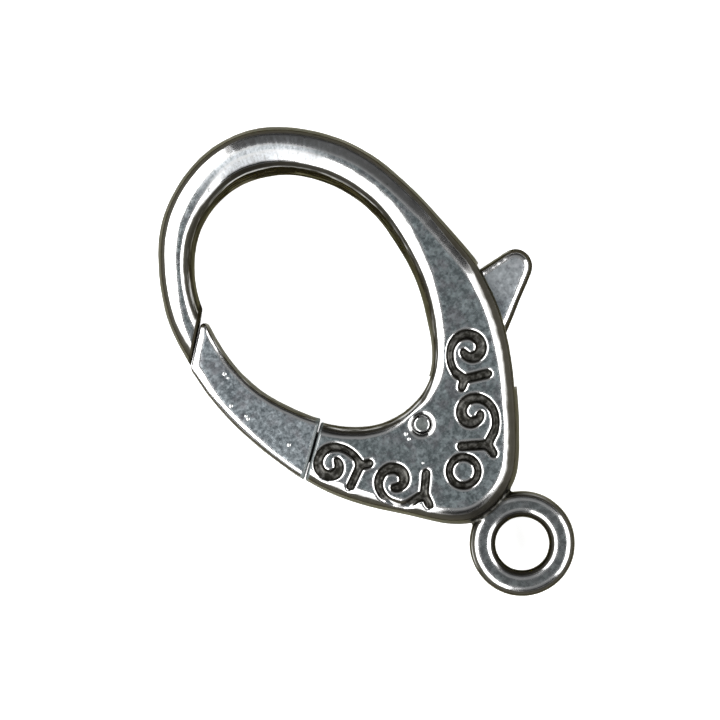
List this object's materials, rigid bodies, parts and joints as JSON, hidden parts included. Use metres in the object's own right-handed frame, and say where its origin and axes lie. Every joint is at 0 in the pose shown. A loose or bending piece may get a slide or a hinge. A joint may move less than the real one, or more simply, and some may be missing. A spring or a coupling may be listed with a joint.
{
  "type": "lobster clasp",
  "caption": "Cast metal lobster clasp with an oval hook, a spring-returned gate lever with a trigger, engraved scrolls on the front and an eye ring for a jump ring.",
  "frame": {"origin": "middle of the clasp's plan box, on the plane of its flat back", "axes": "+X towards the trigger ear, +Y towards the top of the hook with the eye ring at -Y, +Z out of the engraved front"},
  "size_m": [0.023, 0.0378, 0.005],
  "materials": {
    "antique_metal": "zinc casting with antique silver plate, grey tarnish and black in the recesses",
    "pin_metal": "plated steel pin, dulled",
    "spring_metal": "spring steel strip"
  },
  "bodies": {
    "clasp": {"body": "antique_metal", "pivot_pin": "pin_metal", "leaf_spring": "spring_metal"},
    "lever": {"gate": "antique_metal"}
  },
  "joints": [
    {"name": "gate_swing", "type": "hinge", "parent": "clasp", "child": "lever", "pos_m": [-0.00142, -0.00468, 0.0025], "axis": [0, 0, -1], "range_deg": [0, 20], "stiffness_Nm_per_rad": 0.02, "springref_deg": -28.65, "deforming": ["leaf_spring"]}
  ]
}
